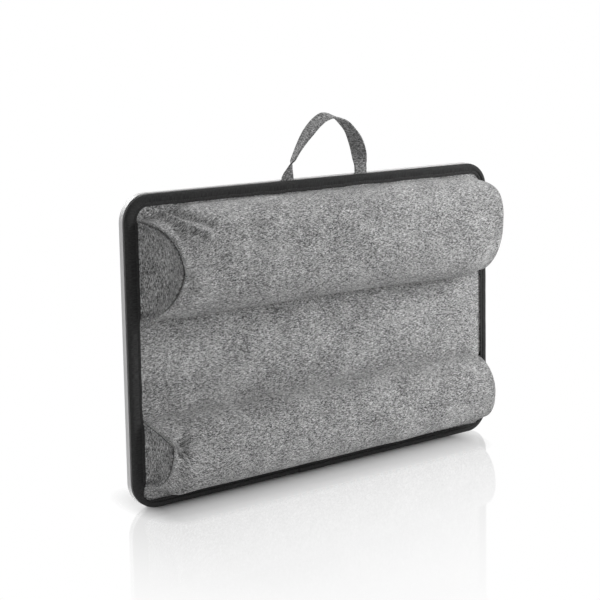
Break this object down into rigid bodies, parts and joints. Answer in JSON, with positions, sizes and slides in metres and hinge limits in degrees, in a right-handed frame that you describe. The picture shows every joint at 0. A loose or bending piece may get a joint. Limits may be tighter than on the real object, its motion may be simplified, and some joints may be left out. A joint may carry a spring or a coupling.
{
  "type": "lap desk",
  "caption": "Lap desk: rigid laminate tray with a grey cloth cushion of padded bolsters and a flat valley on its underside, black bound rim and a fold-down strap handle on one long edge.",
  "frame": {"origin": "on the floor, below the middle of the box of the desk as it stands on its long front edge with the handle up", "axes": "+X along the tray, to the right seen from the cushion; +Y out of the work surface, so the cushion faces -Y; +Z up to the handle. In use the desk lies turned a quarter about X, with +Y up."},
  "size_m": [0.58, 0.083, 0.4575],
  "materials": {
    "board": "raw fibreboard",
    "grey_laminate": "matt light grey melamine, fine texture",
    "silver_band": "satin silver-grey edge band",
    "foam": "white double-sided foam tape",
    "dark_cloth": "dark non-woven lining",
    "white_cloth": "white lining cloth",
    "melange_cloth": "grey melange plain weave with light and dark slubs",
    "black_tape": "black woven binding tape"
  },
  "bodies": {
    "desk": {"tray_core": "board", "work_surface": "grey_laminate", "back_laminate": "grey_laminate", "edge_band": "silver_band", "edge_band_closer": "silver_band", "foam_tape_1": "foam", "foam_tape_2": "foam", "foam_tape_3": "foam", "foam_tape_4": "foam", "foam_tape_5": "foam", "base_cloth": "dark_cloth", "cushion_cover": "melange_cloth", "upper_left_end_panel": "melange_cloth", "upper_right_end_panel": "melange_cloth", "lower_left_end_panel": "melange_cloth", "lower_right_end_panel": "melange_cloth", "upper_bead_bag": "white_cloth", "lower_bead_bag": "white_cloth", "edge_binding": "black_tape", "handle_root_left": "melange_cloth", "handle_root_right": "melange_cloth"},
    "handle": {"carry_handle": "melange_cloth"}
  },
  "joints": [
    {"name": "handle_fold", "type": "hinge", "parent": "desk", "child": "handle", "pos_m": [0.0095, 0.03245, 0.3814], "axis": [1, 0, 0], "range_deg": [-90, 90]}
  ]
}
